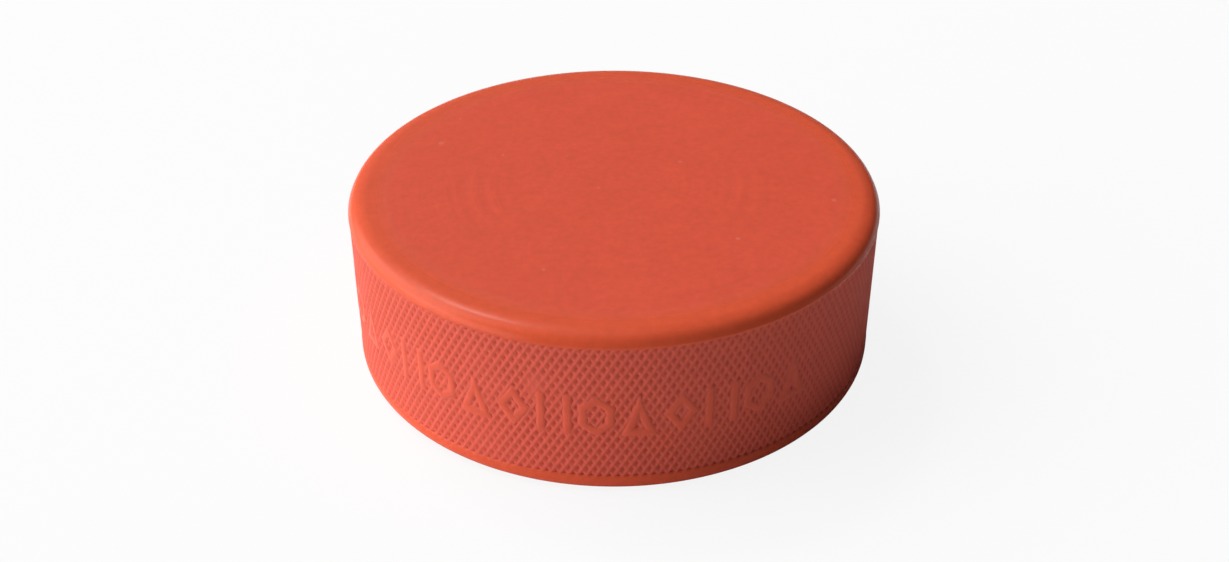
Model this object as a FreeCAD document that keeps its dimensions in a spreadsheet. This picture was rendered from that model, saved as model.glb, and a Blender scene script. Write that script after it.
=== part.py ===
"""Ice hockey puck: one disc of moulded rubber.

The disc lies flat with its lower face on z = 0, centred on the Z axis, in millimetres.
Both flat faces run out into rounded shoulders. The wall between the two smooth rims is a
shallow recessed band, which carries a row of plain raised marks as high as the rims.
Azimuth 0 is the front, -Y, and it grows towards +X.
"""

import FreeCAD, Part
import math
import os

import Sketcher

NODE = "puck_body"
PARTS_FOLDER = "parts"

# Driving dimensions: alias, value, what it is. Lengths in mm, angles in degrees.
DIMENSIONS = (
    ("diameter", 76.2, "across the rims: 3 inches"),
    ("thickness", 25.4, "face to face: 1 inch"),
    ("shoulder_width", 2.75, "radial width of a rounded shoulder"),
    ("corner_radius", 1.7, "tight outer arc of a shoulder"),
    ("crown_radius", 5.0, "gentle inner arc of a shoulder, which runs into the face"),
    ("upper_rim", 0.1285, "plain wall between the upper shoulder and the band"),
    ("lower_rim", 1.0285, "plain wall between the lower shoulder and the band"),
    ("band_depth", 0.2, "how far the band lies inside the rims"),
    ("mark_height", 6.3, "height of a raised mark"),
    ("mark_width", 4.6, "width of a raised mark"),
    ("mark_stroke", 1.05, "width of a mark's line"),
    ("mark_offset", -0.3, "height of the marks' centre line above the band's middle"),
    ("mark_pitch", 8.4, "angle from one mark to the next"),
    ("mark_start", -121.0, "azimuth of the first mark"),
    ("repeats", 5, "times that the sequence of four marks is repeated"),
    ("trim_margin", 1.0, "how far a mark's pad passes the wall before it is trimmed"),
)

# Heights that follow from the sheet: a shoulder's own depth, and where the band starts and ends.
SHOULDER_DEPTH = (
    "(dims.crown_radius - sqrt((dims.crown_radius - dims.corner_radius)^2"
    " - (dims.shoulder_width - dims.corner_radius)^2))"
)
BAND_LOW = f"({SHOULDER_DEPTH} + dims.lower_rim)"
BAND_HIGH = f"(dims.thickness - {SHOULDER_DEPTH} - dims.upper_rim)"
BAND_MIDDLE = "(dims.thickness + dims.lower_rim - dims.upper_rim) / 2"

# Positions on a sketch's geometry, as the Sketcher numbers them.
START, END, CENTRE = 1, 2, 3
ORIGIN_POINT = (-1, 1)


def make_sheet(doc):
    sheet = doc.addObject("Spreadsheet::Sheet", "dims")
    for row, (alias, value, note) in enumerate(DIMENSIONS, start=1):
        sheet.set(f"A{row}", alias)
        sheet.set(f"B{row}", str(value))
        sheet.set(f"C{row}", note)
        sheet.setAlias(f"B{row}", alias)
    doc.recompute()
    return sheet


def origin_feature(body, role):
    return next(f for f in body.Origin.OriginFeatures if f.Role == role)


def new_sketch(body, name):
    """A sketch on the body's front plane: its x is the model's X and its y is the model's Z."""
    sketch = body.newObject("Sketcher::SketchObject", name)
    sketch.AttachmentSupport = [(origin_feature(body, "XZ_Plane"), "")]
    sketch.MapMode = "FlatFace"
    return sketch


def value_of(sketch, expression):
    return float(sketch.evalExpression(expression))


def constrain(sketch, kind, *where):
    return sketch.addConstraint(Sketcher.Constraint(kind, *where))


def bind(sketch, expression, kind, *where):
    """Adds a constraint whose size follows an expression on the sheet."""
    index = constrain(sketch, kind, *where, value_of(sketch, expression))
    sketch.setExpression(f"Constraints[{index}]", expression)


def line(sketch, start, end):
    points = (FreeCAD.Vector(*start, 0), FreeCAD.Vector(*end, 0))
    return sketch.addGeometry(Part.LineSegment(*points), False)


def arc(sketch, centre, radius, start, end):
    circle = Part.Circle(FreeCAD.Vector(*centre, 0), FreeCAD.Vector(0, 0, 1), radius)
    return sketch.addGeometry(Part.ArcOfCircle(circle, start, end), False)


def draw_shoulder(sketch, sheet, face_z, inwards):
    """The two tangent arcs between a flat face and the wall: (crown, corner).

    inwards is +1 where the disc lies above the face and -1 where it lies below.
    """
    crown_x = sheet.diameter / 2 - sheet.shoulder_width
    corner_x = sheet.diameter / 2 - sheet.corner_radius
    rise = math.sqrt(
        (sheet.crown_radius - sheet.corner_radius) ** 2 - (corner_x - crown_x) ** 2
    )
    turn = math.atan2(rise, corner_x - crown_x)
    crown_z = face_z + inwards * sheet.crown_radius
    corner_z = crown_z - inwards * rise
    upright = math.pi / 2
    crown_span = (-upright, -turn) if inwards > 0 else (turn, upright)
    corner_span = (-turn, 0) if inwards > 0 else (0, turn)
    crown = arc(sketch, (crown_x, crown_z), sheet.crown_radius, *crown_span)
    corner = arc(sketch, (corner_x, corner_z), sheet.corner_radius, *corner_span)
    bind(sketch, "dims.crown_radius", "Radius", crown)
    bind(sketch, "dims.corner_radius", "Radius", corner)
    bind(sketch, "dims.diameter / 2 - dims.shoulder_width", "DistanceX", crown, CENTRE)
    bind(sketch, "dims.diameter / 2 - dims.corner_radius", "DistanceX", corner, CENTRE)
    return crown, corner


def draw_profile(body, sheet):
    """Half the disc's section: from the axis along the lower face, up the wall and back."""
    sketch = new_sketch(body, "disc_profile")
    radius = sheet.diameter / 2
    floor = radius - sheet.band_depth
    top = sheet.thickness
    face_edge = radius - sheet.shoulder_width

    lower_crown, lower_corner = draw_shoulder(sketch, sheet, 0.0, 1)
    upper_crown, upper_corner = draw_shoulder(sketch, sheet, top, -1)
    lower_land = sketch.getPoint(lower_corner, END).y
    upper_land = sketch.getPoint(upper_corner, START).y
    band_low = lower_land + sheet.lower_rim
    band_high = upper_land - sheet.upper_rim

    lower_face = line(sketch, (0, 0), (face_edge, 0))
    lower_wall = line(sketch, (radius, lower_land), (radius, band_low))
    step_in = line(sketch, (radius, band_low), (floor, band_low))
    band = line(sketch, (floor, band_low), (floor, band_high))
    step_out = line(sketch, (floor, band_high), (radius, band_high))
    upper_wall = line(sketch, (radius, band_high), (radius, upper_land))
    upper_face = line(sketch, (face_edge, top), (0, top))
    axis = line(sketch, (0, top), (0, 0))

    outline = (
        ("Tangent", lower_face, lower_crown),
        ("Tangent", lower_crown, lower_corner),
        ("Tangent", lower_corner, lower_wall),
        ("Coincident", lower_wall, step_in),
        ("Coincident", step_in, band),
        ("Coincident", band, step_out),
        ("Coincident", step_out, upper_wall),
        ("Tangent", upper_wall, upper_corner),
        ("Tangent", upper_corner, upper_crown),
        ("Tangent", upper_crown, upper_face),
        ("Coincident", upper_face, axis),
    )
    for kind, earlier, later in outline:
        constrain(sketch, kind, earlier, END, later, START)
    constrain(sketch, "Coincident", axis, END, *ORIGIN_POINT)
    constrain(sketch, "Coincident", lower_face, START, *ORIGIN_POINT)
    for level in (lower_face, step_in, step_out, upper_face):
        constrain(sketch, "Horizontal", level)
    for upright in (band, axis):
        constrain(sketch, "Vertical", upright)
    bind(sketch, "dims.thickness", "DistanceY", axis, START)
    bind(sketch, BAND_LOW, "DistanceY", step_in, START)
    bind(sketch, BAND_HIGH, "DistanceY", step_out, START)
    bind(sketch, "dims.diameter / 2 - dims.band_depth", "DistanceX", band, START)
    return sketch


# A mark's corners are expressions measured from the mark's own centre.
HALF_W = "dims.mark_width / 2"
HALF_H = "dims.mark_height / 2"
STROKE = "dims.mark_stroke"


def mirrored(right_side):
    """Closes an outline whose right side, from top to bottom, is given."""
    left = [(f"-({x})", z) for x, z in reversed(right_side) if x != "0"]
    return right_side + left


def lozenge_outlines():
    slope = f"sqrt(({HALF_W})^2 + ({HALF_H})^2)"
    inner_w = f"{HALF_W} - {STROKE} * {slope} / ({HALF_H})"
    inner_h = f"{HALF_H} - {STROKE} * {slope} / ({HALF_W})"
    return [
        mirrored([("0", high), (wide, "0"), ("0", f"-({high})")])
        for wide, high in ((HALF_W, HALF_H), (inner_w, inner_h))
    ]


def bars_outlines():
    inner = f"{HALF_W} - {STROKE}"
    right = [(inner, HALF_H), (HALF_W, HALF_H), (HALF_W, f"-({HALF_H})"), (inner, f"-({HALF_H})")]
    left = [(f"-({x})", z) for x, z in right]
    return [right, left]


def hexagon_outlines():
    """A hexagon with upright sides, whose side corners are half as high as its points."""
    slope = f"sqrt(({HALF_W})^2 + ({HALF_H})^2 / 4)"
    inner_w = f"{HALF_W} - {STROKE}"
    inner_tip = f"{HALF_H} - {STROKE} * {slope} / ({HALF_W})"
    inner_side = f"{inner_tip} - ({inner_w}) * ({HALF_H}) / ({HALF_W}) / 2"
    sizes = ((HALF_W, HALF_H, f"({HALF_H}) / 2"), (inner_w, inner_tip, inner_side))
    return [
        mirrored([("0", tip), (wide, side), (wide, f"-({side})"), ("0", f"-({tip})")])
        for wide, tip, side in sizes
    ]


def triangle_outlines():
    slope = f"sqrt(({HALF_W})^2 + 4 * ({HALF_H})^2)"
    inner_tip = f"{HALF_H} - {STROKE} * {slope} / ({HALF_W})"
    inner_base = f"{STROKE} - {HALF_H}"
    inner_w = f"({inner_tip} - ({inner_base})) * ({HALF_W}) / (2 * {HALF_H})"
    sizes = ((HALF_W, HALF_H, f"-({HALF_H})"), (inner_w, inner_tip, inner_base))
    return [mirrored([("0", tip), (wide, base)]) for wide, tip, base in sizes]


MARKS = (
    ("lozenge", lozenge_outlines),
    ("bars", bars_outlines),
    ("hexagon", hexagon_outlines),
    ("triangle", triangle_outlines),
)


def draw_outline(sketch, corners):
    """A closed outline through corners, each tied to the sheet in x and z."""
    placed = [(x, f"{BAND_MIDDLE} + dims.mark_offset + {z}") for x, z in corners]
    points = [(value_of(sketch, x), value_of(sketch, z)) for x, z in placed]
    edges = [line(sketch, a, b) for a, b in zip(points, points[1:] + points[:1])]
    for edge, following in zip(edges, edges[1:] + edges[:1]):
        constrain(sketch, "Coincident", edge, END, following, START)
    for edge, (x, z) in zip(edges, placed):
        if x == "0":
            constrain(sketch, "PointOnObject", edge, START, -2)
        else:
            bind(sketch, x, "DistanceX", edge, START)
        bind(sketch, z, "DistanceY", edge, START)


def add_marks(body, order, name, outlines):
    """Raises one kind of mark all along the row, in its own place in the sequence."""
    sketch = new_sketch(body, f"{name}_outline")
    sketch.AttachmentOffset = FreeCAD.Placement(
        FreeCAD.Vector(), FreeCAD.Rotation(FreeCAD.Vector(0, 1, 0), 1)
    )
    sketch.setExpression(
        "AttachmentOffset.Rotation.Angle", f"(dims.mark_start + {order} * dims.mark_pitch) * 1 deg"
    )
    for corners in outlines():
        draw_outline(sketch, corners)
    pad = body.newObject("PartDesign::Pad", f"{name}_pad")
    pad.Profile = sketch
    pad.setExpression("Length", "dims.diameter / 2 + dims.trim_margin")
    pattern = body.newObject("PartDesign::PolarPattern", f"{name}_row")
    pattern.Originals = [pad]
    pattern.Axis = (origin_feature(body, "Z_Axis"), [""])
    pattern.Mode = "Spacing"
    pattern.setExpression("Offset", f"{len(MARKS)} * dims.mark_pitch")
    pattern.setExpression("Occurrences", "dims.repeats")
    body.Tip = pattern


def trim_marks(body, sheet):
    """Cuts everything outside the rims' radius along the band, so the marks end flush."""
    sketch = new_sketch(body, "trim_section")
    radius = sheet.diameter / 2
    outer = radius + 2 * sheet.trim_margin
    low, high = value_of(sketch, BAND_LOW), value_of(sketch, BAND_HIGH)
    corners = [(radius, low), (outer, low), (outer, high), (radius, high)]
    edges = [line(sketch, a, b) for a, b in zip(corners, corners[1:] + corners[:1])]
    for edge, following in zip(edges, edges[1:] + edges[:1]):
        constrain(sketch, "Coincident", edge, END, following, START)
    for edge, kind in zip(edges, ("Horizontal", "Vertical") * 2):
        constrain(sketch, kind, edge)
    bind(sketch, "dims.diameter / 2", "DistanceX", edges[0], START)
    bind(sketch, BAND_LOW, "DistanceY", edges[0], START)
    bind(sketch, "dims.diameter / 2 + 2 * dims.trim_margin", "DistanceX", edges[1], END)
    bind(sketch, BAND_HIGH, "DistanceY", edges[1], END)
    groove = body.newObject("PartDesign::Groove", "marks_trim")
    groove.Profile = sketch
    groove.ReferenceAxis = (sketch, ["V_Axis"])
    groove.Angle = 360
    body.Tip = groove


def make_puck(doc, sheet):
    body = doc.addObject("PartDesign::Body", NODE)
    body.Label = NODE
    body.Placement = FreeCAD.Placement()
    disc = body.newObject("PartDesign::Revolution", "disc")
    disc.Profile = draw_profile(body, sheet)
    disc.ReferenceAxis = (disc.Profile[0], ["V_Axis"])
    disc.Angle = 360
    body.Tip = disc
    doc.recompute()
    for order, (name, outlines) in enumerate(MARKS):
        add_marks(body, order, name, outlines)
        doc.recompute()
    before_trim = body.Shape.Volume
    trim_marks(body, sheet)
    doc.recompute()
    if body.Shape.Volume >= before_trim:
        raise RuntimeError("the groove trimmed nothing off the marks")
    return body


def check_and_write(doc, bodies):
    for item in doc.Objects:
        if {"Invalid", "Error"} & set(item.State):
            raise RuntimeError(f"{item.Name} failed: {item.State}")
    os.makedirs(PARTS_FOLDER, exist_ok=True)
    for body in bodies:
        shape = body.Shape
        if shape.isNull() or not shape.isValid() or len(shape.Solids) != 1:
            raise RuntimeError(f"{body.Label} isn't one valid solid")
        shape.exportStep(f"{PARTS_FOLDER}/{body.Label}.step")
        box = shape.optimalBoundingBox(True, False)
        size = f"{box.XLength:.2f} x {box.YLength:.2f} x {box.ZLength:.2f} mm"
        print(f"{body.Label}: {size}, {shape.Volume / 1000:.2f} cm3, {len(shape.Faces)} faces")


doc = FreeCAD.newDocument("hockey_puck")
sheet = make_sheet(doc)
check_and_write(doc, [make_puck(doc, sheet)])
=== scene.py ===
import math

import bmesh
import bpy
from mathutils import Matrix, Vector, noise


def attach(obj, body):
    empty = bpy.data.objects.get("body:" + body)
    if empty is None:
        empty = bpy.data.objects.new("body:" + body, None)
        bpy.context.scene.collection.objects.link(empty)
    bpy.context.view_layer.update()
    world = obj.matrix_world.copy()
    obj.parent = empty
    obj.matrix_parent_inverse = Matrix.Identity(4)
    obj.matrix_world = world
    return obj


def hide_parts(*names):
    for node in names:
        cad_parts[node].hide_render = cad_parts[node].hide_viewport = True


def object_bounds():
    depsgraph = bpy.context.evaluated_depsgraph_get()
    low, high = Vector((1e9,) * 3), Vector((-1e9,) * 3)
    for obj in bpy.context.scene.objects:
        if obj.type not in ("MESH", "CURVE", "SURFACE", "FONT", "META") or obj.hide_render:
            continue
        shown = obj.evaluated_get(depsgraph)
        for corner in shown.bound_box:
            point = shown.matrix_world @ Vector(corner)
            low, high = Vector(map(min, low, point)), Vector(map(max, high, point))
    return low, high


# Ice hockey puck of orange vulcanised rubber, in metres: the disc with its knurled wall, the
# row of raised marks along it, and the studio around it.
#
# Azimuth 0 is the front, -Y, and it grows towards +X. The disc stands on z = 0.

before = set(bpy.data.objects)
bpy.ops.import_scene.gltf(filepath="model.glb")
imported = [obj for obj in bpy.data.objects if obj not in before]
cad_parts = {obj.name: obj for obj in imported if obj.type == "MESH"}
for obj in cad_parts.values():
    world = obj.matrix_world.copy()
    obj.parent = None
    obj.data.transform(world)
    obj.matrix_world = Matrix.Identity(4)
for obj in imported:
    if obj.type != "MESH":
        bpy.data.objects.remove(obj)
cad_low, cad_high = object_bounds()

MM = 0.001
RADIUS = (cad_high.x - cad_low.x) / 2
THICKNESS = cad_high.z - cad_low.z

# Shoulders, as the section between a flat face and the wall.
SHOULDER_WIDTH = 2.75 * MM
CORNER_RADIUS = 1.7 * MM
CROWN_RADIUS = 5.0 * MM

# Rings of a flat face: share of its radius, and n where every n-th azimuth of the knurl is used.
FACE_RINGS = ((0.04, 16), (0.14, 16), (0.3, 8), (0.55, 8), (0.85, 4))

# The knurled band between the two smooth rims.
BAND_LOW = 2.9 * MM
BAND_HIGH = THICKNESS - 2.0 * MM
DIAMONDS_ROUND = 200
HALF_ROWS = 20
CREST_DROP = 0.06 * MM  # the ridges' crests lie this far inside the wall's full radius
PIT_DEPTH = 0.29 * MM
CROSS_RIDGE = 0.87  # height of the ridges that fall to the right, beside 1 for those that rise
RIM_BEVEL = 0.10 * MM
# Across one diamond, from a ridge's crest over the pit to the next: place and ridge height.
KNURL_SECTION = ((0.0, 1.0), (0.14, 0.86), (0.5, 0.0), (0.86, 0.86))
STEPS = len(KNURL_SECTION)  # steps of the knurl's grid across one diamond
WEAR_SCALE = 5.0  # noise cells of the broad wear to one radius of the puck
WEAR_SHARE = 0.30  # the most of the pits' depth that it takes
GRAIN_SCALE = 90.0
GRAIN_HEIGHT = 0.012 * MM

# The mould's parting line, a fine bead above the band.
BEAD_HEIGHT = 0.05 * MM
BEAD_WIDTH = 0.45 * MM
BEAD_Z = BAND_HIGH + 0.42 * MM
BEAD_CLEARANCE = 0.04 * MM  # least height from the bead to the next ring of the shoulder

# Raised marks.
MARK_HEIGHT = 6.3 * MM
MARK_WIDTH = 4.6 * MM
MARK_STROKE = 1.05 * MM
MARK_CENTRE = (BAND_LOW + BAND_HIGH) / 2 - 0.3 * MM
MARK_PITCH = math.radians(8.4)
MARK_START = math.radians(-121.0)
MARK_REPEATS = 5
MARK_STEP = 0.9 * MM
# Up one side of a mark's stroke: inset from its outline and drop below the wall.
MARK_SECTION = (
    (-0.50 * MM, 0.48 * MM),
    (-0.30 * MM, 0.27 * MM),
    (-0.08 * MM, 0.12 * MM),
    (0.10 * MM, 0.035 * MM),
    (0.30 * MM, 0.0),
)

SHARP_ANGLE = math.radians(50)  # edges that turn more than this are shaded hard

SPOT_NARROWING = 0.6  # a worn spot's reach along the wall, beside 1 up it
# Where the knurl has worn down: azimuth, height, reach and how much depth is lost.
WORN_SPOTS = (
    (math.radians(-15.5), 16.5 * MM, 2.6 * MM, 0.65),
    (math.radians(71.0), 9.0 * MM, 3.2 * MM, 0.5),
    (math.radians(163.0), 15.0 * MM, 4.0 * MM, 0.55),
    (math.radians(-98.0), 6.5 * MM, 2.4 * MM, 0.45),
)


# ---------------------------------------------------------------- the disc's mesh


class Skin:
    """Vertices and triangles of a closed surface, built ring by ring from the bottom up."""

    def __init__(self):
        self.points = []
        self.faces = []

    def add(self, azimuth, radius, z):
        self.points.append((radius * math.sin(azimuth), -radius * math.cos(azimuth), z))
        return len(self.points) - 1

    def ring(self, azimuths, radius, z):
        return [self.add(a, radius, z) for a in azimuths]

    def bridge(self, lower, upper):
        """Joins two rings, whose counts are equal, or double, or one of them a single point."""
        count = max(len(lower), len(upper))
        for j in range(count):
            k = (j + 1) % count
            a, b = lower[j * len(lower) // count], lower[k * len(lower) // count]
            c, d = upper[k * len(upper) // count], upper[j * len(upper) // count]
            for face in ((a, b, c), (a, c, d)):
                if len(set(face)) == 3:
                    self.faces.append(face)


CROWN_EDGE = RADIUS - SHOULDER_WIDTH
CORNER_CENTRE = RADIUS - CORNER_RADIUS
CROWN_RISE = math.sqrt((CROWN_RADIUS - CORNER_RADIUS) ** 2 - (CORNER_CENTRE - CROWN_EDGE) ** 2)
SHOULDER_DEPTH = CROWN_RADIUS - CROWN_RISE


def corner_radius_at(angle):
    """The disc's radius on the corner's arc, angle above the level of its centre."""
    return CORNER_CENTRE + CORNER_RADIUS * math.cos(angle)


def shoulder_section(crown_steps=7, corner_steps=7):
    """(radius, depth below the face) from the flat face's edge out to the wall."""
    turn = math.atan2(CROWN_RISE, CORNER_CENTRE - CROWN_EDGE)
    section = []
    for i in range(crown_steps):
        a = math.pi / 2 + (turn - math.pi / 2) * i / crown_steps
        section.append((CROWN_EDGE + CROWN_RADIUS * math.cos(a), CROWN_RADIUS * (1 - math.sin(a))))
    for i in range(corner_steps + 1):
        a = turn * (1 - i / corner_steps)
        section.append((corner_radius_at(a), SHOULDER_DEPTH - CORNER_RADIUS * math.sin(a)))
    return section


def bead_section():
    """(radius, height) up over the bead, which sits on the last of the corner's curve."""
    half = BEAD_WIDTH / 2
    points = []
    for up, proud in ((-half, 0.0), (-half / 3, BEAD_HEIGHT), (half / 3, BEAD_HEIGHT), (half, 0.0)):
        z = BEAD_Z + up
        above = max(0.0, z - (THICKNESS - SHOULDER_DEPTH))
        points.append((corner_radius_at(math.asin(above / CORNER_RADIUS)) + proud, z))
    return points


def knurl_radius(u, v, azimuth, z):
    """The wall's radius at a node of the knurl, where two families of ridges cross.

    u and v count the ridges of each family; their fractions are places in KNURL_SECTION.
    """
    ridge = max(CROSS_RIDGE * KNURL_SECTION[u % STEPS][1], KNURL_SECTION[v % STEPS][1])
    place = Vector((math.sin(azimuth), math.cos(azimuth), z / RADIUS))
    wear = 0.5 + 0.5 * noise.noise(place * WEAR_SCALE)
    grain = noise.noise(place * GRAIN_SCALE)
    depth = PIT_DEPTH * (1.0 - WEAR_SHARE * wear) * (1 - ridge) * kept_depth(azimuth, z)
    return RADIUS - CREST_DROP - depth + GRAIN_HEIGHT * grain


def kept_depth(azimuth, z):
    """The share of the knurl's depth that wear has left."""
    kept = 1.0
    for spot_azimuth, spot_z, reach, loss in WORN_SPOTS:
        along = RADIUS * math.remainder(azimuth - spot_azimuth, 2 * math.pi)
        away = ((along / SPOT_NARROWING) ** 2 + (z - spot_z) ** 2) / reach**2
        kept -= loss * math.exp(-2 * away**2)
    return kept


def add_knurl(skin):
    """The band, on a grid that runs along its ridges.

    Returns its lowest ring, its highest ring and the azimuths that both have.
    """
    per_turn = STEPS * DIAMONDS_ROUND
    pitch = 2 * math.pi / DIAMONDS_ROUND
    row = (BAND_HIGH - BAND_LOW) / HALF_ROWS
    rounding = 1e-9
    nodes = {}

    def place(n):
        return n // STEPS + KNURL_SECTION[n % STEPS][0]

    def level(u, v):
        return place(u) - place(v)

    def node(u, v):
        turns = u // per_turn
        key = (u - turns * per_turn, v - turns * per_turn)
        if key not in nodes:
            azimuth = (place(u) + place(v)) / 2 * pitch
            z = BAND_LOW + level(u, v) * row
            nodes[key] = skin.add(azimuth, knurl_radius(*key, azimuth, z), z)
        return nodes[key]

    for u in range(per_turn):
        for v in range(u - STEPS * (HALF_ROWS + 1), u + STEPS):
            left, top, right, bottom = (u, v), (u + 1, v), (u + 1, v + 1), (u, v + 1)
            if (u + v) % STEPS == STEPS - 1:
                triangles = ((left, bottom, top), (bottom, right, top))
            else:
                triangles = ((left, bottom, right), (left, right, top))
            for corners in triangles:
                levels = [level(*c) for c in corners]
                if min(levels) > -rounding and max(levels) < HALF_ROWS + rounding:
                    skin.faces.append(tuple(node(*c) for c in corners))
    lowest = [node(u, u) for u in range(per_turn)]
    rise = STEPS * HALF_ROWS // 2
    highest = [node(u + rise, u - rise) for u in range(per_turn)]
    azimuths = [place(u) * pitch for u in range(per_turn)]
    return lowest, highest, azimuths


def build_disc():
    """The closed surface of the disc, from its lower face up over the wall to its upper one."""
    skin = Skin()
    lowest, highest, azimuths = add_knurl(skin)
    section = shoulder_section()

    def face_rings(z):
        """From the middle of a flat face out to the shoulder, each ring finer than the last."""
        rings = [[skin.add(0.0, 0.0, z)]]
        for share, step in FACE_RINGS:
            rings.append(skin.ring(azimuths[::step], share * CROWN_EDGE, z))
        return rings

    smooth = azimuths[::2]
    rings = face_rings(0.0)
    rings += [skin.ring(smooth, r, depth) for r, depth in section]
    rings += [skin.ring(azimuths, RADIUS, BAND_LOW - RIM_BEVEL), lowest]
    for lower, upper in zip(rings, rings[1:]):
        skin.bridge(lower, upper)

    bead = bead_section()
    clear = THICKNESS - bead[-1][1] - BEAD_CLEARANCE
    rings = [highest, skin.ring(azimuths, RADIUS, BAND_HIGH + RIM_BEVEL)]
    rings += [skin.ring(smooth, r, z) for r, z in bead]
    above_bead = [(r, THICKNESS - depth) for r, depth in reversed(section) if depth < clear]
    rings += [skin.ring(smooth, r, z) for r, z in above_bead]
    rings += reversed(face_rings(THICKNESS))
    for lower, upper in zip(rings, rings[1:]):
        skin.bridge(lower, upper)

    mesh = bpy.data.meshes.new("puck")
    mesh.from_pydata(skin.points, [], skin.faces)
    mesh.validate()
    return mesh


# ---------------------------------------------------------------- the raised marks


def inset_outline(corners, inset):
    """The outline moved inwards by inset; corners run anticlockwise as seen from outside."""
    moved = []
    for before, here, after in zip(corners[-1:] + corners[:-1], corners, corners[1:] + corners[:1]):
        arriving = (here - before).normalized()
        leaving = (after - here).normalized()
        n1 = Vector((-arriving.y, arriving.x))
        n2 = Vector((-leaving.y, leaving.x))
        moved.append(here + (n1 + n2) * inset / (1 + n1.dot(n2)))
    return moved


def stations(corners, counts):
    """Points along each side of a closed outline, counts[i] to side i."""
    points = []
    for a, b, count in zip(corners, corners[1:] + corners[:1], counts):
        points += [a.lerp(b, i / count) for i in range(count)]
    return points


def stroke_section(hollow):
    """(inset from the outline, radius) up one side of a mark and, if hollow, down the other."""
    up = [(inset, RADIUS - drop) for inset, drop in MARK_SECTION]
    down = [(MARK_STROKE - inset, radius) for inset, radius in reversed(up)]
    return up + down if hollow else up


def add_mark(work, corners, azimuth, hollow):
    """One outline on the wall as a closed solid: a frame if hollow, and filled if not."""
    counts = [
        max(2, math.ceil((b - a).length / MARK_STEP))
        for a, b in zip(corners, corners[1:] + corners[:1])
    ]
    loops = []
    for inset, radius in stroke_section(hollow):
        loop = []
        for point in stations(inset_outline(corners, inset), counts):
            turn = azimuth + point.x / RADIUS
            z = MARK_CENTRE + point.y
            loop.append(work.verts.new((radius * math.sin(turn), -radius * math.cos(turn), z)))
        loops.append(loop)
    pairs = list(zip(loops, loops[1:]))
    if hollow:
        pairs.append((loops[-1], loops[0]))
    else:
        work.faces.new(loops[-1])
        work.faces.new(reversed(loops[0]))
    for outer, inner in pairs:
        for i in range(len(outer)):
            k = (i + 1) % len(outer)
            work.faces.new((outer[i], outer[k], inner[k], inner[i]))


def mark_outlines():
    """The four marks in their order along the row: a list of (corners, hollow) for each."""
    w, h = MARK_WIDTH / 2, MARK_HEIGHT / 2
    lozenge = [(0, -h), (w, 0), (0, h), (-w, 0)]
    hexagon = [(0, -h), (w, -h / 2), (w, h / 2), (0, h), (-w, h / 2), (-w, -h / 2)]
    triangle = [(-w, -h), (w, -h), (0, h)]
    right_bar = [(w - MARK_STROKE, -h), (w, -h), (w, h), (w - MARK_STROKE, h)]
    left_bar = [(x - 2 * w + MARK_STROKE, z) for x, z in right_bar]
    return (
        [(lozenge, True)],
        [(left_bar, False), (right_bar, False)],
        [(hexagon, True)],
        [(triangle, True)],
    )


def build_marks():
    """The whole row of marks as one mesh of separate closed solids."""
    work = bmesh.new()
    kinds = mark_outlines()
    for number in range(MARK_REPEATS * len(kinds)):
        azimuth = MARK_START + number * MARK_PITCH
        for corners, hollow in kinds[number % len(kinds)]:
            add_mark(work, [Vector(c) for c in corners], azimuth, hollow)
    bmesh.ops.recalc_face_normals(work, faces=work.faces)
    mesh = bpy.data.meshes.new("marks")
    work.to_mesh(mesh)
    work.free()
    return mesh


def build_puck():
    """Unites the disc and its marks in one closed mesh, shaded smooth except at hard edges."""
    puck = bpy.data.objects.new("puck", build_disc())
    marks = bpy.data.objects.new("marks", build_marks())
    for o in (puck, marks):
        bpy.context.scene.collection.objects.link(o)
    union = puck.modifiers.new("union", "BOOLEAN")
    union.operation = "UNION"
    union.solver = "MANIFOLD"
    union.object = marks
    bpy.context.view_layer.update()
    evaluated = puck.evaluated_get(bpy.context.evaluated_depsgraph_get())
    united = bpy.data.meshes.new_from_object(evaluated)
    puck.modifiers.clear()
    puck.data = united
    bpy.data.objects.remove(marks)
    united.shade_smooth()
    united.set_sharp_from_angle(angle=SHARP_ANGLE)
    return puck


# ---------------------------------------------------------------- materials

SKIN_COLOUR = (0.78, 0.104, 0.042, 1)
FACE_BLOOM_COLOUR = (0.77, 0.098, 0.051, 1)
RIDGE_BLOOM_COLOUR = (0.74, 0.116, 0.074, 1)
MARK_BLOOM = 0.45  # bloom on the marks, beside 1 on the ridges
# Painted shade: the knurl's pits get this darker colour in place of the shade that falls in them.
PIT_SHADE_COLOUR = (0.60, 0.062, 0.034, 1)
SPECK_COLOUR = (0.80, 0.26, 0.18, 1)
FACE_BLOOM_EDGE = 33.0 * MM
FACE_BLOOM_FADE = 1.6 * MM
SKIN_ROUGHNESS = 0.26
FACE_ROUGHNESS = 0.52
BAND_ROUGHNESS = 0.56
BLOOM_ROUGHNESS_SWING = 0.2
SPECULAR_LEVEL = 0.16
DUST_ON_FACE = 0.35
RING_STAIN = 0.15
RING_RELIEF = 0.35
GRAIN_RELIEF = 0.12 * MM
GRAIN_RELIEF_STRENGTH = 0.5


def new_group(name, inputs, outputs):
    """An empty shader node group; inputs are (name, socket kind, default), outputs (name, kind)."""
    group = bpy.data.node_groups.new(name, "ShaderNodeTree")
    for label, kind, default in inputs:
        socket = group.interface.new_socket(label, in_out="INPUT", socket_type="NodeSocket" + kind)
        if default is not None:
            socket.default_value = default
    for label, kind in outputs:
        group.interface.new_socket(label, in_out="OUTPUT", socket_type="NodeSocket" + kind)
    return group, Wiring(group)


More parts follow.
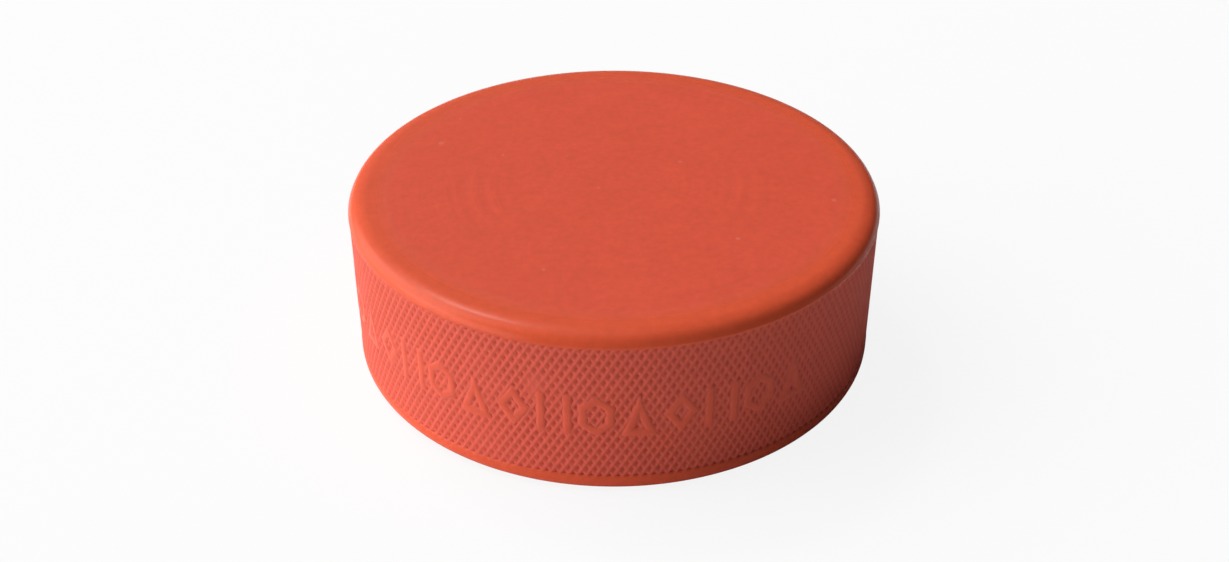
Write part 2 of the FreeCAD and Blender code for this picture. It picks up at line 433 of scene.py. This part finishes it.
class Wiring:
    """Adds nodes to one node tree and joins them."""

    def __init__(self, tree):
        self.tree = tree

    def node(self, kind, settings=None, **inputs):
        node = self.tree.nodes.new(kind)
        for key, value in (settings or {}).items():
            setattr(node, key, value)
        for key, value in inputs.items():
            self.feed(node.inputs[key.replace("_", " ")], value)
        return node

    def feed(self, socket, value):
        if isinstance(value, bpy.types.NodeSocket):
            self.tree.links.new(value, socket)
        else:
            socket.default_value = value

    def math(self, operation, *values, clamp=False):
        node = self.tree.nodes.new("ShaderNodeMath")
        node.operation = operation
        node.use_clamp = clamp
        for socket, value in zip(node.inputs, values):
            self.feed(socket, value)
        return node.outputs[0]

    def ramp(self, value, low, high):
        """0 at low and 1 at high, smooth between; low may be the greater."""
        node = self.tree.nodes.new("ShaderNodeMapRange")
        node.interpolation_type = "SMOOTHSTEP"
        for socket, given in zip(node.inputs, (value, low, high, 0.0, 1.0)):
            self.feed(socket, given)
        return node.outputs[0]

    def mix(self, factor, first, second):
        """Colour mix: first at factor 0, second at factor 1."""
        node = self.tree.nodes.new("ShaderNodeMix")
        node.data_type = "RGBA"
        self.feed(node.inputs[0], factor)
        self.feed(node.inputs[6], first)
        self.feed(node.inputs[7], second)
        return node.outputs[2]

    def group(self, group, **inputs):
        node = self.tree.nodes.new("ShaderNodeGroup")
        node.node_tree = group
        for key, value in inputs.items():
            self.feed(node.inputs[key.replace("_", " ")], value)
        return node


def mottle_group():
    """Cloudy variation about 1, as of a compound that is not quite evenly mixed."""
    group, w = new_group(
        "mottle",
        [("Place", "Vector", None), ("Scale", "Float", 100.0), ("Amount", "Float", 0.05)],
        [("Shade", "Float")],
    )
    given, put = w.node("NodeGroupInput"), w.node("NodeGroupOutput")
    place, scale = given.outputs["Place"], given.outputs["Scale"]
    clouds = w.node("ShaderNodeTexNoise", Vector=place, Scale=scale)
    clouds.inputs["Detail"].default_value = 5.0
    clouds.inputs["Roughness"].default_value = 0.62
    swing = w.math("MULTIPLY", w.math("SUBTRACT", clouds.outputs["Fac"], 0.5), 4.0)
    shade = w.math("MULTIPLY_ADD", swing, given.outputs["Amount"], 1.0)
    w.feed(put.inputs["Shade"], shade)
    return group


def specks_group():
    """Sparse round specks: 1 in a speck, 0 elsewhere."""
    group, w = new_group(
        "specks",
        [
            ("Place", "Vector", None),
            ("Scale", "Float", 300.0),
            ("Size", "Float", 0.2),
            ("Share", "Float", 0.2),
        ],
        [("Mask", "Float")],
    )
    given, put = w.node("NodeGroupInput"), w.node("NodeGroupOutput")
    place, scale = given.outputs["Place"], given.outputs["Scale"]
    cells = w.node("ShaderNodeTexVoronoi", Vector=place, Scale=scale)
    pick = w.node("ShaderNodeSeparateColor", Color=cells.outputs["Color"])
    chosen = w.math("LESS_THAN", pick.outputs[0], given.outputs["Share"])
    size = w.math("MULTIPLY", given.outputs["Size"], w.math("MULTIPLY_ADD", pick.outputs[1], 0.8, 0.3))
    inner = w.math("MULTIPLY", size, 0.5)
    spot = w.ramp(cells.outputs["Distance"], size, inner)
    w.feed(put.inputs["Mask"], w.math("MULTIPLY", chosen, spot))
    return group


def turned_rings_group():
    """Fine concentric lines that a lathe left in the mould, and that fade in and out."""
    group, w = new_group(
        "turned_rings",
        [("Place", "Vector", None), ("Radius", "Float", 0.0), ("Lines", "Float", 1500.0)],
        [("Height", "Float")],
    )
    given, put = w.node("NodeGroupInput"), w.node("NodeGroupOutput")
    lines = w.node("ShaderNodeTexNoise", {"noise_dimensions": "1D"}, W=given.outputs["Radius"])
    w.feed(lines.inputs["Scale"], given.outputs["Lines"])
    lines.inputs["Detail"].default_value = 3.0
    patches = w.node("ShaderNodeTexNoise", Vector=given.outputs["Place"], Scale=45.0)
    shown = w.ramp(patches.outputs["Fac"], 0.42, 0.62)
    swing = w.math("SUBTRACT", lines.outputs["Fac"], 0.5)
    w.feed(put.inputs["Height"], w.math("MULTIPLY", swing, shown))
    return group


def zones_group():
    """Where a point of the puck lies: its distance from the axis and the masks of its zones."""
    group, w = new_group(
        "zones",
        [("Place", "Vector", None)],
        [(label, "Float") for label in ("Radius", "Face", "Band", "Pit", "Mark")],
    )
    given, put = w.node("NodeGroupInput"), w.node("NodeGroupOutput")
    parts = w.node("ShaderNodeSeparateXYZ", Vector=given.outputs["Place"])
    x, y, z = parts.outputs
    across = w.node("ShaderNodeCombineXYZ", X=x, Y=y)
    length = w.node("ShaderNodeVectorMath", {"operation": "LENGTH"})
    w.feed(length.inputs[0], across.outputs[0])
    radius = length.outputs["Value"]
    face = w.ramp(radius, FACE_BLOOM_EDGE + FACE_BLOOM_FADE, FACE_BLOOM_EDGE - FACE_BLOOM_FADE)
    above = w.ramp(z, BAND_LOW - 0.15 * MM, BAND_LOW + 0.05 * MM)
    below = w.ramp(z, BAND_HIGH + 0.15 * MM, BAND_HIGH - 0.05 * MM)
    outside = w.math("GREATER_THAN", radius, RADIUS - 1.0 * MM)
    band = w.math("MULTIPLY", w.math("MULTIPLY", above, below), outside)
    crest = RADIUS - CREST_DROP
    # The pits' mask carries painted shade: where it is set, the rubber's colour is darkened.
    pit = w.math("MULTIPLY", band, w.ramp(radius, crest - 0.04 * MM, crest - 0.26 * MM))
    mark = w.math("MULTIPLY", band, w.ramp(radius, crest - 0.01 * MM, crest + 0.04 * MM))
    masks = {"Radius": radius, "Face": face, "Band": band, "Pit": pit, "Mark": mark}
    for label, value in masks.items():
        w.feed(put.inputs[label], value)
    return group


def rubber():
    """Vulcanised rubber: saturated where the mould polished it, with a pinkish bloom on the flat
    faces and along the knurl's ridges, and painted shade that darkens the pits."""
    mat = bpy.data.materials.new("orange_rubber")
    mat.use_nodes = True
    w = Wiring(mat.node_tree)
    shader = mat.node_tree.nodes["Principled BSDF"]
    place = w.node("ShaderNodeTexCoord").outputs["Object"]
    zones = w.group(zones_group(), Place=place)
    face, band = zones.outputs["Face"], zones.outputs["Band"]
    pit, mark = zones.outputs["Pit"], zones.outputs["Mark"]

    mottle = mottle_group()
    clouds = w.group(mottle, Place=place, Scale=60.0, Amount=0.02).outputs["Shade"]
    blotches = w.group(mottle, Place=place, Scale=330.0, Amount=0.04).outputs["Shade"]
    grain = w.group(mottle, Place=place, Scale=900.0, Amount=0.06).outputs["Shade"]
    bloom_clouds = w.group(mottle, Place=place, Scale=180.0, Amount=0.25).outputs["Shade"]
    specks = w.group(specks_group(), Place=place, Scale=420.0, Size=0.22, Share=0.10).outputs["Mask"]
    rings = w.group(
        turned_rings_group(), Place=place, Radius=zones.outputs["Radius"], Lines=750.0
    ).outputs["Height"]

    ridge = w.math("MULTIPLY", band, w.math("MULTIPLY_ADD", mark, MARK_BLOOM - 1, 1.0))
    bloom = w.math("MULTIPLY", w.math("MAXIMUM", face, ridge), bloom_clouds, clamp=True)
    colour = w.mix(bloom, SKIN_COLOUR, w.mix(face, RIDGE_BLOOM_COLOUR, FACE_BLOOM_COLOUR))
    # Painted shade: the pits are mixed towards a darker colour.
    colour = w.mix(pit, colour, PIT_SHADE_COLOUR)
    dust = w.math("MULTIPLY", specks, w.math("MULTIPLY", face, DUST_ON_FACE))
    colour = w.mix(dust, colour, SPECK_COLOUR)
    stain = w.math("MULTIPLY_ADD", rings, w.math("MULTIPLY", face, RING_STAIN), 1.0)
    coarse, fine = w.math("MULTIPLY", clouds, blotches), w.math("MULTIPLY", grain, stain)
    shade = w.math("MULTIPLY", coarse, fine)
    tinted = w.node("ShaderNodeVectorMath", {"operation": "SCALE"})
    w.feed(tinted.inputs[0], colour)
    w.feed(tinted.inputs["Scale"], shade)
    w.feed(shader.inputs["Base Color"], tinted.outputs["Vector"])

    matt = w.math("MULTIPLY_ADD", face, FACE_ROUGHNESS - SKIN_ROUGHNESS, SKIN_ROUGHNESS)
    matt = w.math("MULTIPLY_ADD", ridge, BAND_ROUGHNESS - SKIN_ROUGHNESS, matt)
    swing = w.math("MULTIPLY_ADD", bloom_clouds, BLOOM_ROUGHNESS_SWING, 1 - BLOOM_ROUGHNESS_SWING)
    w.feed(shader.inputs["Roughness"], w.math("MULTIPLY", matt, swing))
    shader.inputs["Specular IOR Level"].default_value = SPECULAR_LEVEL

    relief = w.math("MULTIPLY_ADD", rings, w.math("MULTIPLY", face, RING_RELIEF), grain)
    bump = w.node("ShaderNodeBump", Height=relief)
    bump.inputs["Strength"].default_value = GRAIN_RELIEF_STRENGTH
    bump.inputs["Distance"].default_value = GRAIN_RELIEF
    w.feed(shader.inputs["Normal"], bump.outputs["Normal"])
    return mat


# ---------------------------------------------------------------- studio

SENSOR_WIDTH = 36.0
LENS = 45.22
CAMERA_ELEVATION = math.radians(33.0)
CAMERA_DISTANCE = 0.2298
CAMERA_AIM = (0.00007, -0.00648, THICKNESS / 2)

LAMP_DISTANCE = 3.0
# Name, azimuth and elevation in degrees, then the size in m and the power in W of the lamp that
# would light the puck in the same way from 1 m.
LAMPS = (
    ("key", -104, 30, 1.2, 7.9),
    ("left_high", -90, 45, 1.1, 2.9),
    ("high_back", -120, 60, 1.2, 2.3),
    ("streak", -146, 57, 0.18, 1.5),
    ("side_low", -77, 11, 0.5, 2.5),
    ("front_low", -52, 8, 0.5, 2.2),
    ("back_middle", -150, 38, 1.0, 0.6),
    ("behind", 180, 20, 0.8, 0.2),
)

FLOOR_HALF = 2.0
FLOOR_COLOUR = (0.88, 0.88, 0.88, 1)
FLOOR_ROUGHNESS = 0.9
FLOOR_LIFT = 0.88  # how far the camera sees the floor lifted to white
ROOM_LIGHT = 0.03
BACKDROP_LIGHT = 0.92  # what the camera sees behind the floor, on top of the room's light


def look_at(obj, target):
    obj.rotation_euler = (Vector(target) - obj.location).to_track_quat("-Z", "Y").to_euler()


def add_camera():
    data = bpy.data.cameras.new("camera")
    data.sensor_width = SENSOR_WIDTH
    data.lens = LENS
    data.clip_start = 0.01
    camera = bpy.data.objects.new("camera", data)
    camera.location = (
        0,
        -CAMERA_DISTANCE * math.cos(CAMERA_ELEVATION),
        CAMERA_DISTANCE * math.sin(CAMERA_ELEVATION) + THICKNESS / 2,
    )
    look_at(camera, CAMERA_AIM)
    bpy.context.scene.collection.objects.link(camera)
    bpy.context.scene.camera = camera


def add_lamp(name, azimuth, elevation, size, power):
    """A round soft lamp from a row of LAMPS, put at LAMP_DISTANCE."""
    data = bpy.data.lights.new(name, "AREA")
    data.shape = "DISK"
    data.size = size * LAMP_DISTANCE
    data.energy = power * LAMP_DISTANCE**2
    lamp = bpy.data.objects.new(name, data)
    a, e = math.radians(azimuth), math.radians(elevation)
    lamp.location = (
        LAMP_DISTANCE * math.cos(e) * math.sin(a),
        -LAMP_DISTANCE * math.cos(e) * math.cos(a),
        LAMP_DISTANCE * math.sin(e) + THICKNESS / 2,
    )
    look_at(lamp, (0, 0, THICKNESS / 2))
    bpy.context.scene.collection.objects.link(lamp)


def seen_paler(w, shaded, lift):
    """To the camera the shaded surface is lifted towards white; its light on the puck is real."""
    seen = w.node("ShaderNodeLightPath").outputs["Is Camera Ray"]
    glow = w.node("ShaderNodeEmission", Color=(1, 1, 1, 1), Strength=1.0)
    pale = w.node("ShaderNodeMixShader", Fac=w.math("MULTIPLY", seen, lift))
    w.feed(pale.inputs[1], shaded)
    w.feed(pale.inputs[2], glow.outputs[0])
    return pale.outputs[0]


def floor_paper():
    mat = bpy.data.materials.new("floor_paper")
    mat.use_nodes = True
    w = Wiring(mat.node_tree)
    shader = mat.node_tree.nodes["Principled BSDF"]
    shader.inputs["Base Color"].default_value = FLOOR_COLOUR
    shader.inputs["Roughness"].default_value = FLOOR_ROUGHNESS
    put = mat.node_tree.nodes["Material Output"]
    w.feed(put.inputs["Surface"], seen_paler(w, shader.outputs[0], FLOOR_LIFT))
    return mat


def add_floor():
    mesh = bpy.data.meshes.new("floor")
    s = FLOOR_HALF
    mesh.from_pydata([(-s, -s, 0), (s, -s, 0), (s, s, 0), (-s, s, 0)], [], [(0, 1, 2, 3)])
    floor = bpy.data.objects.new("floor", mesh)
    mesh.materials.append(floor_paper())
    bpy.context.scene.collection.objects.link(floor)


def add_world():
    """A dark room to the puck, and a pale backdrop to the camera."""
    world = bpy.data.worlds.new("studio")
    bpy.context.scene.world = world
    world.use_nodes = True
    w = Wiring(world.node_tree)
    seen = w.node("ShaderNodeLightPath").outputs["Is Camera Ray"]
    background = world.node_tree.nodes["Background"]
    background.inputs["Color"].default_value = (1, 1, 1, 1)
    strength = w.math("MULTIPLY_ADD", seen, BACKDROP_LIGHT, ROOM_LIGHT)
    w.feed(background.inputs["Strength"], strength)


add_camera()
add_floor()
add_world()
for lamp in LAMPS:
    add_lamp(*lamp)
bpy.context.scene.view_settings.view_transform = "Standard"

puck = build_puck()
puck.data.materials.clear()
puck.data.materials.append(rubber())
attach(puck, "root")
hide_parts("puck_body")
